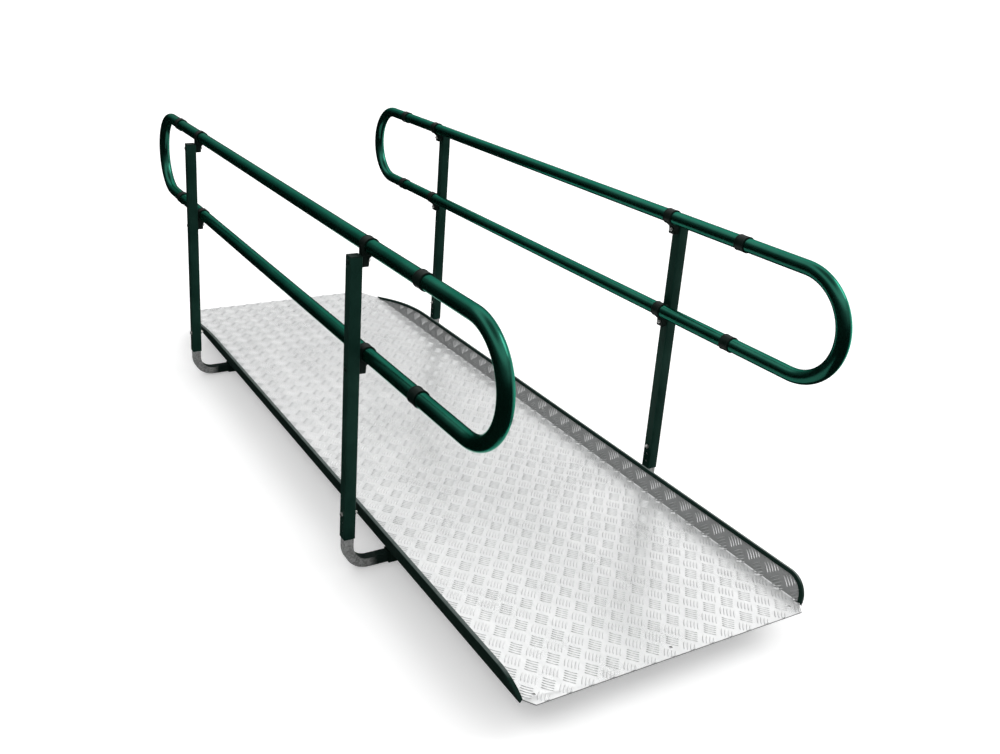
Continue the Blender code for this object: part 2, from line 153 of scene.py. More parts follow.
deck_low, deck_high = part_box("deck_plate")
DECK_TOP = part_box("left_stringer")[1].z + SHEET + GAP
NEAR_KERB = deck_low.y + NEAR_LIP
FAR_KERB = deck_high.y - FAR_LIP
KERB_LENGTH = FAR_KERB - NEAR_KERB
HALF_WIDTH = CLEAR_WIDTH / 2
FOLD_TURN = math.pi / 2 - KERB_SPLAY
FOLD_REACH = FOLD_RADIUS * math.tan(FOLD_TURN / 2)
FOLD_ARC = FOLD_RADIUS * FOLD_TURN
FLAT_HALF = HALF_WIDTH - FOLD_REACH


# Node trees


class NodeTree:
    """A tree of shader nodes, with short ways to add and join them."""

    def __init__(self, tree):
        self.tree = tree

    def node(self, kind, **settings):
        made = self.tree.nodes.new("ShaderNode" + kind)
        for key, value in settings.items():
            setattr(made, key, value)
        return made

    def join(self, source, target):
        self.tree.links.new(source, target)

    def put(self, value, socket):
        """Joins another node's output to a socket, or sets the socket to a plain value."""
        if hasattr(value, "links"):
            self.join(value, socket)
        else:
            socket.default_value = value

    def split(self, vector):
        """The X, Y and Z outputs of a vector."""
        made = self.node("SeparateXYZ")
        self.join(vector, made.inputs["Vector"])
        return made.outputs

    def math(self, operation, *values):
        made = self.node("Math", operation=operation)
        for socket, value in zip(made.inputs, values):
            self.put(value, socket)
        return made.outputs["Value"]

    def ramp(self, factor, stops):
        made = self.node("ValToRGB")
        points = made.color_ramp.elements
        while len(points) < len(stops):
            points.new(0.5)
        for point, (position, colour) in zip(points, stops):
            point.position = position
            point.color = (*colour, 1.0)
        self.join(factor, made.inputs["Fac"])
        return made.outputs["Color"]


class Shade(NodeTree):
    """A material's nodes, around one Principled shader."""

    def __init__(self, name):
        self.material = bpy.data.materials.new(name)
        self.material.use_nodes = True
        super().__init__(self.material.node_tree)
        self.shader = self.tree.nodes["Principled BSDF"]
        self.place = self.node("TexCoord").outputs["Object"]

    def set(self, **values):
        """Sets or joins the shader's inputs, by their names with underscores for spaces."""
        for key, value in values.items():
            self.put(value, self.shader.inputs[key.replace("_", " ")])

    def noise(self, scale, detail=4.0, roughness=0.55, stretch=None):
        made = self.node("TexNoise")
        made.inputs["Scale"].default_value = scale
        made.inputs["Detail"].default_value = detail
        made.inputs["Roughness"].default_value = roughness
        place = self.place
        if stretch:
            turn = self.node("Mapping")
            turn.inputs["Scale"].default_value = stretch
            self.join(place, turn.inputs["Vector"])
            place = turn.outputs["Vector"]
        self.join(place, made.inputs["Vector"])
        return made.outputs["Fac"]

    def cells(self, scale):
        """A grey of its own for each cell of a Voronoi pattern."""
        made = self.node("TexVoronoi", feature="F1")
        made.inputs["Scale"].default_value = scale
        self.join(self.place, made.inputs["Vector"])
        greys = self.node("SeparateColor")
        self.join(made.outputs["Color"], greys.inputs["Color"])
        return greys.outputs["Red"]

    def upward(self):
        """How far the surface faces up, from -1 to 1."""
        return self.split(self.node("NewGeometry").outputs["Normal"])["Z"]

    def spread(self, factor, low, high, start=0.3, end=0.7):
        """A factor stretched from start..end to low..high."""
        made = self.node("MapRange")
        made.inputs["From Min"].default_value = start
        made.inputs["From Max"].default_value = end
        made.inputs["To Min"].default_value = low
        made.inputs["To Max"].default_value = high
        self.join(factor, made.inputs["Value"])
        return made.outputs["Result"]

    def mix(self, factor, first, colour):
        """One socket's colour mixed with a plain colour."""
        made = self.node("Mix", data_type="RGBA")
        sockets = {socket.name: socket for socket in made.inputs if socket.enabled}
        self.join(factor, sockets["Factor"])
        self.join(first, sockets["A"])
        sockets["B"].default_value = (*colour, 1.0)
        return next(socket for socket in made.outputs if socket.enabled)

    def bump(self, height, depth, strength):
        made = self.node("Bump")
        made.inputs["Strength"].default_value = strength
        made.inputs["Distance"].default_value = depth
        self.join(height, made.inputs["Height"])
        self.join(made.outputs["Normal"], self.shader.inputs["Normal"])


# Procedural materials


def tread_material():
    """Mill-finish aluminium: rolling streaks and cloudy oxide, with painted shade along one side of the bars'
    feet and on steep faces.
    """
    s = Shade("tread_aluminium")
    streak = s.noise(60.0, detail=3.0, stretch=(1.0, 0.04, 1.0))
    cloud = s.noise(7.0, detail=5.0)
    speck = s.noise(900.0, detail=2.0)
    tone = s.math("ADD", s.math("MULTIPLY", streak, 0.5), s.math("MULTIPLY", cloud, 0.5))
    dark, mean, light = (0.70, 0.705, 0.705), (0.79, 0.795, 0.795), (0.85, 0.85, 0.845)
    base = s.ramp(tone, [(0.30, dark), (0.55, mean), (0.75, light)])
    # Painted shade along the bars' feet, made uneven by the clouds
    foot_shade_mask = s.node("Attribute", attribute_name=FOOT_SHADE).outputs["Fac"]
    foot_shade = s.math("MULTIPLY", foot_shade_mask, s.spread(cloud, 0.40, 0.75))
    # Painted shade: steep and downward faces, such as the kerbs' faces and the sheet's edges, turn towards
    # the grey below, as do the bars' feet
    painted_shade = s.math("MAXIMUM", foot_shade, s.spread(s.upward(), 0.68, 0.0, start=0.42, end=0.62))
    rough = s.math("ADD", s.spread(cloud, 0.27, 0.32), s.spread(speck, -0.02, 0.03))
    s.set(Base_Color=s.mix(painted_shade, base, (0.26, 0.27, 0.27)), Metallic=0.55, Roughness=rough)
    s.bump(s.math("ADD", s.math("MULTIPLY", streak, 0.4), s.math("MULTIPLY", speck, 0.6)), 0.00006, 0.4)
    return s.material


def paint_material(name, dark, light, tint, roughness, specular, index=1.5, top_highlight=0.0, metallic=0.0):
    """Powder coat: an orange-peel skin over a slightly uneven dark colour, with a patchy painted highlight
    where it faces up.
    """
    s = Shade(name)
    cloud = s.noise(9.0, detail=4.0)
    peel = s.noise(1400.0, detail=2.0, roughness=0.6)
    base = s.ramp(cloud, [(0.35, dark), (0.68, light)])
    if top_highlight:
        # Painted highlight: a paler colour on faces that look up, in patches
        top_highlight_mask = s.spread(s.upward(), 0.0, top_highlight, start=0.75, end=0.97)
        patchy = s.spread(s.noise(40.0), 0.6, 1.0)
        base = s.mix(s.math("MULTIPLY", top_highlight_mask, patchy), base, (0.16, 0.185, 0.18))
    rough = s.math("ADD", s.spread(cloud, -0.03, 0.03), s.spread(peel, roughness, roughness + 0.06))
    s.set(Base_Color=base, Metallic=metallic, Roughness=rough)
    s.set(Specular_Tint=(*tint, 1.0), Specular_IOR_Level=specular, IOR=index)
    s.bump(peel, 0.00005, 0.6)
    return s.material


def galvanised_material():
    """Hot-dip zinc: mottled spangle and rougher patches, dark green on the arm near its socket, and the same
    dark green on faces that look up as painted shade.
    """
    s = Shade("galvanised_zinc")
    grain = s.noise(260.0, detail=6.0, roughness=0.7)
    cloud = s.noise(24.0, detail=5.0)
    tone = s.math("ADD", s.math("MULTIPLY", s.cells(170.0), 0.35), s.math("MULTIPLY", grain, 0.65))
    dark, mean, light = (0.25, 0.255, 0.25), (0.40, 0.41, 0.405), (0.55, 0.56, 0.555)
    base = s.ramp(tone, [(0.28, dark), (0.50, mean), (0.72, light)])
    ragged = s.math("ADD", s.math("ABSOLUTE", s.split(s.place)["X"]), s.spread(cloud, -0.006, 0.006))
    arm = s.spread(ragged, 1.0, 0.0, start=DARK_ARM[0], end=DARK_ARM[1])
    # Painted shade: faces that look up turn the same dark green as the arm near its socket
    upper = s.spread(s.upward(), 0.0, 0.95, start=0.20, end=0.60)
    painted = s.mix(s.math("MAXIMUM", arm, upper), base, (0.006, 0.024, 0.018))
    s.set(Base_Color=painted, Metallic=0.55, Roughness=s.spread(cloud, 0.42, 0.62))
    s.bump(grain, 0.00018, 0.7)
    return s.material


def plastic_material(name, dark, light, roughness):
    """Moulded nylon: fine matt texture with rubbed, slightly paler patches."""
    s = Shade(name)
    cloud = s.noise(55.0, detail=5.0)
    base = s.ramp(cloud, [(0.38, dark), (0.70, light)])
    s.set(Base_Color=base, Roughness=s.spread(cloud, roughness - 0.05, roughness + 0.08))
    s.set(Specular_Tint=(0.70, 1.0, 0.88, 1.0), Specular_IOR_Level=0.30, IOR=1.28)
    s.bump(s.noise(1600.0, detail=2.0), 0.00007, 0.5)
    return s.material


def zinc_bolt_material():
    """Bright zinc plate with turning marks and a faint haze."""
    s = Shade("zinc_plate")
    cloud = s.noise(180.0, detail=4.0)
    base = s.ramp(cloud, [(0.35, (0.50, 0.51, 0.50)), (0.68, (0.70, 0.70, 0.67))])
    s.set(Base_Color=base, Metallic=0.95, Roughness=s.spread(cloud, 0.24, 0.40))
    s.bump(s.noise(2200.0, detail=2.0, stretch=(0.2, 1.0, 1.0)), 0.00004, 0.5)
    return s.material


# Painted shade: a darker copy of the handrail paint for the posts, which are the same green
SHADED_POST_PAINT = paint_material(
    "shaded_post_green", (0.004, 0.017, 0.0125), (0.008, 0.028, 0.021), (0.30, 1.0, 0.72), 0.38, 0.30, index=1.30
)
DARK_HEAD = plastic_material("painted_bolt_head", (0.004, 0.010, 0.008), (0.008, 0.016, 0.013), 0.35)
FINISH = {
    "tread_plate": tread_material(),
    "kerb_trim_paint": paint_material(
        "kerb_trim_green", (0.005, 0.016, 0.012), (0.008, 0.022, 0.017), (0.50, 0.90, 0.75), 0.50, 0.30,
        index=1.24, top_highlight=0.9
    ),
    "frame_paint": paint_material(
        "frame_green", (0.003, 0.009, 0.007), (0.005, 0.014, 0.010), (0.45, 0.90, 0.72), 0.50, 0.30,
        index=1.30
    ),
    "handrail_paint": paint_material(
        "handrail_green", (0.012, 0.082, 0.056), (0.020, 0.112, 0.078), (0.45, 1.0, 0.80), 0.19, 0.50,
        metallic=0.95
    ),
    "galvanised_bracket": galvanised_material(),
    "collar_nylon": plastic_material("collar_nylon", (0.002, 0.006, 0.0045), (0.005, 0.010, 0.008), 0.38),
    "clamp_nylon": plastic_material("clamp_nylon", (0.002, 0.006, 0.0045), (0.006, 0.010, 0.008), 0.40),
    "post_cap_plastic": plastic_material(
        "post_cap_plastic", (0.004, 0.012, 0.009), (0.007, 0.018, 0.014), 0.46
    ),
    "zinc_bolt": zinc_bolt_material(),
}


# Sections, as (a, b) pairs, and the solids made from them


def round_section(radius, sides=48):
    turns = [2 * math.pi * step / sides for step in range(sides)]
    return [(radius * math.cos(turn), radius * math.sin(turn)) for turn in turns]


def box_section(width, height, corner, steps=4):
    """A rectangle with rounded corners."""
    points = []
    for quarter in range(4):
        across = (width / 2 - corner) * (1 if quarter in (0, 3) else -1)
        upward = (height / 2 - corner) * (1 if quarter in (0, 1) else -1)
        for step in range(steps + 1):
            angle = math.pi / 2 * (quarter + step / steps)
            points.append((across + corner * math.cos(angle), upward + corner * math.sin(angle)))
    return points


def square_section(size, corner):
    return box_section(size, size, corner, steps=5)


def hex_section(across_flats, bulge=0.0):
    """Corners and side middles of a hexagon; bulge 1 gives the circle inside it."""
    flat = across_flats / 2
    corner = across_flats / math.sqrt(3.0)
    points = []
    for step in range(12):
        turn = math.pi / 6 * step
        reach = flat if step % 2 else corner + (flat - corner) * bulge
        points.append((reach * math.cos(turn), reach * math.sin(turn)))
    return points


def ring_at(bm, centre, side_axis, up_axis, section):
    return [bm.verts.new(Vector(centre) + side_axis * a + up_axis * b) for a, b in section]


def bridge(bm, rings):
    for first, second in zip(rings, rings[1:]):
        count = len(first)
        for index in range(count):
            after = (index + 1) % count
            bm.faces.new((first[index], first[after], second[after], second[index]))


def swept(bm, path, side_axis, outer, inner=None):
    """A section carried along (point, tangent) pairs in the plane square to side_axis."""
    rings = []
    bores = []
    for point, tangent in path:
        up_axis = side_axis.cross(tangent).normalized()
        rings.append(ring_at(bm, point, side_axis, up_axis, outer))
        if inner:
            bores.append(ring_at(bm, point, side_axis, up_axis, inner))
    bridge(bm, rings)
    if inner:
        bridge(bm, bores)
        bridge(bm, [rings[0], bores[0]])
        bridge(bm, [rings[-1], bores[-1]])
    else:
        bm.faces.new(rings[0])
        bm.faces.new(rings[-1])


def straight(bm, start, end, side_axis, outer, inner=None):
    run = (Vector(end) - Vector(start)).normalized()
    swept(bm, [(Vector(start), run), (Vector(end), run)], side_axis, outer, inner)


def stacked(bm, origin, axis, side_axis, stages, ring=False):
    """Sections of equal counts stacked along an axis; ring joins the last back to the first."""
    up_axis = side_axis.cross(axis).normalized()
    rings = [ring_at(bm, Vector(origin) + axis * d, side_axis, up_axis, section) for d, section in stages]
    bridge(bm, rings)
    if ring:
        bridge(bm, [rings[-1], rings[0]])
    else:
        bm.faces.new(rings[0])
        bm.faces.new(rings[-1])


def turned(bm, origin, axis, side_axis, profile, sides=48, ring=False):
    """A turned solid from (distance along the axis, radius) pairs."""
    stacked(bm, origin, axis, side_axis, [(d, round_section(r, sides)) for d, r in profile], ring)


def mesh_from(bm, name):
    """The bmesh as a mesh, with its faces turned outwards."""
    bmesh.ops.recalc_face_normals(bm, faces=bm.faces)
    mesh = bpy.data.meshes.new(name)
    bm.to_mesh(mesh)
    bm.free()
    return mesh


def add_object(name, data):
    made = bpy.data.objects.new(name, data)
    bpy.context.scene.collection.objects.link(made)
    return made


def place_mesh(name, mesh, slot, body, stands_for=(), angle=32.0):
    """A mesh in the frame's own coordinates becomes a piece that rides on a body."""
    mesh.materials.clear()
    mesh.materials.append(FINISH[slot])
    mesh.shade_smooth()
    mesh.set_sharp_from_angle(angle=math.radians(angle))
    made = add_object(name, mesh)
    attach(made, body)
    if stands_for:
        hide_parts(*stands_for)
    return made


def place_piece(name, bm, slot, body, stands_for=(), angle=32.0):
    return place_mesh(name, mesh_from(bm, name), slot, body, stands_for, angle)


def cut(bm, tools):
    """A mesh of bm with each tool's solid taken out of it."""
    work = add_object("cut_work", mesh_from(bm, "cut_work"))
    cutters = [add_object("cut_tool", mesh_from(tool, "cut_tool")) for tool in tools]
    for cutter in cutters:
        change = work.modifiers.new("cut", "BOOLEAN")
        change.operation = "DIFFERENCE"
        change.solver = "EXACT"
        change.object = cutter
    bpy.context.view_layer.update()
    depsgraph = bpy.context.evaluated_depsgraph_get()
    result = bpy.data.meshes.new_from_object(work.evaluated_get(depsgraph))
    for thing in [work] + cutters:
        old = thing.data
        bpy.data.objects.remove(thing)
        bpy.data.meshes.remove(old)
    return result


def box_and_centre(node):
    low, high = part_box(node)
    return low, high, (low + high) / 2


# Deck: a folded sheet with its raised bars


def folded(across, distance, height):
    """A place on the sheet: across is measured over its top face from the middle, height off that face."""
    side = math.copysign(1.0, across)
    reach = abs(across)
    turn = min(max((reach - FLAT_HALF) / FOLD_RADIUS, 0.0), FOLD_TURN)
    radius = FOLD_RADIUS - height
    flat = min(reach, FLAT_HALF)
    past = max(reach - FLAT_HALF - FOLD_ARC, 0.0)
    x = flat + radius * math.sin(turn) + past * math.cos(FOLD_TURN)
    z = FOLD_RADIUS - radius * math.cos(turn) + past * math.sin(FOLD_TURN)
    return Vector((side * x, NEAR_KERB + distance, DECK_TOP + z))


def kerb_height(distance):
    """Slant height of the kerb's sheet at a distance from its near end."""
    if distance <= 0.0 or distance >= KERB_LENGTH:
        return 0.0
    if distance < KERB_NEAR_ROUND:
        return KERB_SLANT * math.sqrt(1 - (1 - distance / KERB_NEAR_ROUND) ** 2)
    left = KERB_LENGTH - distance
    if left < KERB_FAR_TAPER:
        return KERB_SLANT * math.sin(math.pi / 2 * left / KERB_FAR_TAPER)
    return KERB_SLANT


def sheet_edge(distance):
    """How far the sheet reaches from the middle, over its top face."""
    if distance < 0.0:
        share = -distance / NEAR_LIP
        return FLAT_HALF + (LIP_HALF_WIDTH_NEAR - FLAT_HALF) * share
    past = distance - KERB_LENGTH
    corner = FAR_LIP * LIP_CORNER_START
    wide = LIP_HALF_WIDTH_FAR + LIP_CORNER
    if past > corner:
        return wide - LIP_CORNER * (past - corner) / (FAR_LIP - corner)
    if past > 0.0:
        return FLAT_HALF + (wide - FLAT_HALF) * past / corner
    height = kerb_height(distance)
    if height < FOLD_REACH:
        return FLAT_HALF + FOLD_ARC * height / FOLD_REACH
    return FLAT_HALF + FOLD_ARC + height - FOLD_REACH


def sheet_rows():
    rows = [-NEAR_LIP]
    rows += [KERB_NEAR_ROUND * (1 - math.cos(math.pi / 2 * step / 16)) for step in range(17)]
    straight_end = KERB_LENGTH - KERB_FAR_TAPER
    rows += [KERB_NEAR_ROUND + (straight_end - KERB_NEAR_ROUND) * step / 12 for step in range(1, 12)]
    rows += [straight_end + KERB_FAR_TAPER * step / 24 for step in range(25)]
    rows += [KERB_LENGTH + FAR_LIP * LIP_CORNER_START, KERB_LENGTH + FAR_LIP]
    return rows


def sheet_columns(distance, arc_steps=8, kerb_steps=4):
    """Places across the sheet at one distance, the same count for every row."""
    edge = sheet_edge(distance)
    flat = min(edge, FLAT_HALF)
    arc_end = min(edge, FLAT_HALF + FOLD_ARC)
    half = [flat * share for share in (0.0, 0.5, 1.0)]
    half += [flat + (arc_end - flat) * step / arc_steps for step in range(1, arc_steps + 1)]
    half += [arc_end + (edge - arc_end) * step / kerb_steps for step in range(1, kerb_steps + 1)]
    return [-place for place in reversed(half[1:])] + half


def sheet_solid():
    bm = bmesh.new()
    layers = []
    for height in (0.0, -SHEET):
        layers.append([[bm.verts.new(folded(u, v, height)) for u in sheet_columns(v)] for v in sheet_rows()])
    top, bottom = layers
    for layer in layers:
        for near, far in zip(layer, layer[1:]):
            for index in range(len(near) - 1):
                bm.faces.new((near[index], near[index + 1], far[index + 1], far[index]))
    edges = []
    for end in (0, -1):
        edges.append((top[end], bottom[end]))
        edges.append(([row[end] for row in top], [row[end] for row in bottom]))
    for upper, lower in edges:
        for index in range(len(upper) - 1):
            bm.faces.new((upper[index], upper[index + 1], lower[index + 1], lower[index]))
    bmesh.ops.remove_doubles(bm, verts=bm.verts, dist=1e-6)
    return bm


def fixing_hole_tools():
    tools = []
    for column in FIXING_COLUMNS:
        for row in FIXING_ROWS:
            bm = bmesh.new()
            centre = Vector((column, NEAR_KERB + row, DECK_TOP))
            straight(bm, centre - Z_AXIS * SHEET * 3, centre + Z_AXIS * SHEET * 3, X_AXIS,
                     round_section(FIXING_HOLE / 2, 24))
            tools.append(bm)
    return tools


def bar_rings(verts, faces, foot_shade, middle_across, middle_distance, turn):
    """One raised bar: a ring at its foot and one at its top, with painted shade along one side of some bars'
    feet.
    """
    outline = list(BAR_OUTLINE) + [(-a, -b) for a, b in BAR_OUTLINE]
    start = len(verts)
    levels = ((1.0, 1.0, -BAR_SUNK), (BAR_TOP_LENGTH, BAR_TOP_WIDTH, BAR_HEIGHT))
    for long_scale, wide_scale, height in levels:
        for a, b in outline:
            # Painted shade: weight one on one side of the foot ring of the bars leaning one way
            foot_shade.append(float(height < 0 and turn > 0 and b > 0))
            a *= BAR_LENGTH / 2 * long_scale
            b *= BAR_WIDTH / 2 * wide_scale
            across = middle_across + a * math.cos(turn) - b * math.sin(turn)
            distance = middle_distance + (a * math.sin(turn) + b * math.cos(turn)) * PATTERN_STRETCH
            distance = min(max(distance, -NEAR_LIP), KERB_LENGTH + FAR_LIP)
            edge = sheet_edge(distance)
            across = min(max(across, -edge), edge)
            verts.append(folded(across, distance, height))
    count = len(outline)
    for index in range(count):
        after = (index + 1) % count
        faces.append((start + index, start + after, start + count + after, start + count + index))
    faces.append(tuple(start + count + index for index in range(count)))


def near_hole(across, distance):
    for column in FIXING_COLUMNS:
        for row in FIXING_ROWS:
            if math.hypot(across - column, distance - row) < FIXING_HOLE / 2 + BAR_WIDTH:
                return True
    return False


def bar_pattern():
    """Groups of five bars, leaning one way on the corners of a square grid and the other at its middles."""
    verts = []
    faces = []
    foot_shade = []
    widest = FLAT_HALF + FOLD_ARC + KERB_SLANT
    columns = math.ceil(widest / PATTERN_PITCH) + 1
    first_row = -NEAR_LIP + PATTERN_ALONG * PATTERN_PITCH
    pitch_along = PATTERN_PITCH * PATTERN_STRETCH
    rows = math.ceil((KERB_LENGTH + FAR_LIP + NEAR_LIP) / pitch_along) + 1
    for lean, shift in ((math.pi / 4, 0.0), (-math.pi / 4, 0.5)):
        for column in range(-columns, columns + 1):
            for row in range(-1, rows):
                group_across = (column + shift + PATTERN_ACROSS) * PATTERN_PITCH
                group_distance = first_row + (row + shift) * pitch_along
                for bar in range(BARS):
                    step = (bar - (BARS - 1) / 2) * BAR_SPACING
                    across = group_across - step * math.sin(lean)
                    distance = group_distance + step * math.cos(lean) * PATTERN_STRETCH
                    if not -NEAR_LIP < distance < KERB_LENGTH + FAR_LIP:
                        continue
                    if abs(across) > sheet_edge(distance) - BAR_WIDTH / 2 or near_hole(across, distance):
                        continue
                    bar_rings(verts, faces, foot_shade, across, distance, lean)
    mesh = bpy.data.meshes.new("bars")
    mesh.from_pydata(verts, [], faces)
    mesh.attributes.new(FOOT_SHADE, "FLOAT", "POINT").data.foreach_set("value", foot_shade)
    return mesh


def make_deck():
    sheet = cut(sheet_solid(), fixing_hole_tools())
    bars = bar_pattern()
    bm = bmesh.new()
    bm.from_mesh(bars)
    bmesh.ops.dissolve_degenerate(bm, dist=1e-5, edges=bm.edges)
    bm.from_mesh(sheet)
    place_piece("tread_deck", bm, "tread_plate", "ramp_deck", ("deck_plate",), angle=50.0)


make_deck()


# Kerb trims: an edging rolled over the kerb, with a full outer skin and a short inner lip


def kerb_stations(near_steps=20, far_steps=24):
    """(distance, slant height) and outward normal along the kerb's upper edge."""
    points = []
    for step in range(near_steps + 1):
        turn = math.pi / 2 * step / near_steps
        points.append((KERB_NEAR_ROUND * (1 - math.cos(turn)), KERB_SLANT * math.sin(turn)))
    for step in range(far_steps + 1):
        share = 1 - step / far_steps
        points.append((KERB_LENGTH - KERB_FAR_TAPER * share, KERB_SLANT * math.sin(math.pi / 2 * share)))
    stations = []
    for index, point in enumerate(points):
        before = Vector(points[max(index - 1, 0)])
        after = Vector(points[min(index + 1, len(points) - 1)])
        run = (after - before).normalized()
        stations.append((point, (-run.y, run.x)))
    return stations


def trim_section():
    """(offset off the kerb's edge, outward depth) pairs of the part that follows the edge."""
    top = GAP + TRIM_SKIN
    inner = -GAP - TRIM_SKIN
    outer = SHEET + GAP + TRIM_OUTER_SKIN
    section = [(-TRIM_LIP, -GAP), (-TRIM_LIP, inner + TRIM_EASE), (-TRIM_LIP + TRIM_EASE, inner)]
    for middle_depth, start in ((inner + TRIM_ROUND, math.pi), (outer - TRIM_ROUND, math.pi / 2)):
        for step in range(7):
            turn = start - math.pi / 2 * step / 6
            offset = top - TRIM_ROUND + TRIM_ROUND * math.sin(turn)
            section.append((offset, middle_depth + TRIM_ROUND * math.cos(turn)))
    return section, outer


def kerb_directions(side):
    """Up the kerb's slant, and outward through its sheet."""
    up = Vector((side * math.sin(KERB_SPLAY), 0.0, math.cos(KERB_SPLAY)))
    out = Vector((side * math.cos(KERB_SPLAY), 0.0, -math.sin(KERB_SPLAY)))
    return up, out


def make_kerb_trim(name, side):
    """The section follows the kerb's edge, and an outer skin reaches from it down to the fold."""
    up, out = kerb_directions(side)
    base = Vector((side * HALF_WIDTH, NEAR_KERB, DECK_TOP))
    section, outer = trim_section()
    skin_inside = outer - TRIM_OUTER_SKIN
    bm = bmesh.new()
    loops = []
    low = -SHEET
    for (distance, height), (normal_along, normal_up) in kerb_stations():
        points = []
        for offset, depth in section:
            points.append((distance + normal_along * offset, height + normal_up * offset, depth, TRIM_FOOT))
        shoulder = (distance - normal_along * TRIM_SHOULDER, height - normal_up * TRIM_SHOULDER)
        foot = distance + normal_along * (GAP + TRIM_SKIN)
        inside = (distance + normal_along * GAP, height + normal_up * GAP)
        points.append((*shoulder, outer, low + TRIM_FOOT_SLOPE))
        points.append((foot, low + TRIM_EASE, outer, low))
        points.append((foot, low, outer - TRIM_EASE, low))
        points.append((foot, low, skin_inside, low))
        points.append((*shoulder, skin_inside, low + TRIM_FOOT_SLOPE))
        points.append((*inside, skin_inside, TRIM_FOOT))
        points.append((*inside, -GAP, TRIM_FOOT))
        places = [base + Y_AXIS * v + up * max(t, lowest) + out * w for v, t, w, lowest in points]
        loops.append([bm.verts.new(place) for place in places])
    bridge(bm, loops)
    for loop in (loops[0], loops[-1]):
        bmesh.ops.triangulate(bm, faces=[bm.faces.new(loop)])
    place_piece(name + "_trim", bm, "kerb_trim_paint", "ramp_deck", (name + "_kerb_trim",))


for side_name, side_sign in SIDES:
    make_kerb_trim(side_name, side_sign)


# Tubes under the deck


def make_box_tube(node, name, axis, side_axis, wall, corner):
    """A rounded box tube filling a node's box."""
    low, high, centre = box_and_centre(node)
    half = (high - low) / 2
    reach = abs(half.dot(axis))
    width = abs(half.dot(side_axis)) * 2
    height = abs(half.dot(side_axis.cross(axis))) * 2
    outer = box_section(width, height, corner)
    inner = box_section(width - 2 * wall, height - 2 * wall, max(corner - wall, 0.0004))
    bm = bmesh.new()
    straight(bm, centre - axis * reach, centre + axis * reach, side_axis, outer, inner)
    place_piece(name, bm, "frame_paint", "ramp_deck", (node,))


for label in ("left", "centre", "right"):
    make_box_tube(label + "_stringer", label + "_rib", Y_AXIS, X_AXIS, 0.0025, 0.003)
for label in ENDS:
    make_box_tube(label + "_cross_tube", label + "_socket", X_AXIS, Y_AXIS, 0.0034, 0.0040)


# The rivet


def make_rivet():
    """A dome-headed rivet on the right kerb's inner face."""
    along, up_slant = RIVET_PLACE
    up, out = kerb_directions(1)
    origin = Vector((HALF_WIDTH, NEAR_KERB + along, DECK_TOP)) + up * up_slant
    radius = RIVET_HEAD / 2
    dome = ((-0.0004, 1.0), (0.0006, 1.0), (0.0014, 0.88), (0.0021, 0.62), (0.0025, 0.30), (0.0025, 0.24),
            (0.0019, 0.18), (0.0019, 0.03))
    bm = bmesh.new()
    turned(bm, origin, -out, Y_AXIS, [(rise, radius * wide) for rise, wide in dome], sides=24)
    place_piece("right_kerb_rivet", bm, "zinc_bolt", "ramp_deck")


make_rivet()


# Handrails


def rail_radius(node):
    low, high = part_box(node)
    return (high.x - low.x) / 2


def make_rail(node, body):
    low, high, centre = box_and_centre(node)
    radius = rail_radius(node)
    bm = bmesh.new()
    start = Vector((centre.x, low.y, centre.z))
    end = Vector((centre.x, high.y, centre.z))
    straight(bm, start, end, X_AXIS, round_section(radius), round_section(radius - RAIL_WALL))
    place_piece(node + "_tube", bm, "handrail_paint", body, (node,))


def make_loop(node, way, body, steps=40):
    """Along the top, round half a turn and back along the bottom."""
    low, high, centre = box_and_centre(node)
    radius = rail_radius(node)
    bend = (high.z - low.z) / 2 - radius
    join, tip = (high.y, low.y) if way < 0 else (low.y, high.y)
    bend_y = tip - way * (radius + bend)
    path = [(Vector((centre.x, join, centre.z + bend)), Y_AXIS * way)]
    for step in range(steps + 1):
        turn = math.pi * step / steps
        point = Vector((centre.x, bend_y + way * bend * math.sin(turn), centre.z + bend * math.cos(turn)))
        path.append((point, Vector((0.0, way * math.cos(turn), -math.sin(turn)))))
    path.append((Vector((centre.x, join, centre.z - bend)), Y_AXIS * -way))
    bm = bmesh.new()
    swept(bm, path, X_AXIS, round_section(radius), round_section(radius - RAIL_WALL))
    place_piece(node + "_tube", bm, "handrail_paint", body, (node,))


def band_profile(half, inside, outside, rim=0.0045, step=0.0007, soft=0.0009):
    """A ring's profile: a shallow recess between two raised rims, all edges eased."""
    return [
        (-half, inside),
        (-half, outside - soft),
        (-half + soft * 0.3, outside - soft * 0.3),
        (-half + soft, outside),
        (-half + rim - soft, outside),
        (-half + rim, outside - step),
        (half - rim, outside - step),
        (half - rim + soft, outside),
        (half - soft, outside),
        (half - soft * 0.3, outside - soft * 0.3),
        (half, outside - soft),
        (half, inside),
    ]


def make_collar(node, rail, body):
    low, high, centre = box_and_centre(node)
    bm = bmesh.new()
    profile = band_profile((high.y - low.y) / 2, rail_radius(rail) + GAP, (high.x - low.x) / 2)
    turned(bm, centre, Y_AXIS, X_AXIS, profile, ring=True)
    place_piece(node + "_ring", bm, "collar_nylon", body, (node,))


def lug_outline(face, drop, reach):
    """The lug's side view, from under the rail down to its squared toe, corners eased."""
    toe = face - LUG_THICK
    ease = LUG_EASE
    return [
        (face, -drop + ease * 0.4),
        (face, 0.002),
        (face * 0.5, 0.004),
        (0.0, -reach * 0.72),
        (-reach * 0.72, -reach * 0.70),
        (-reach * 0.52, -reach * 0.96),
        (toe - 0.001, -drop * 0.585),
        (toe, -drop * 0.66),
        (toe, -drop + ease),
        (toe + ease * 0.3, -drop + ease * 0.3),
        (toe + ease, -drop),
        (face - ease * 0.4, -drop),
    ]


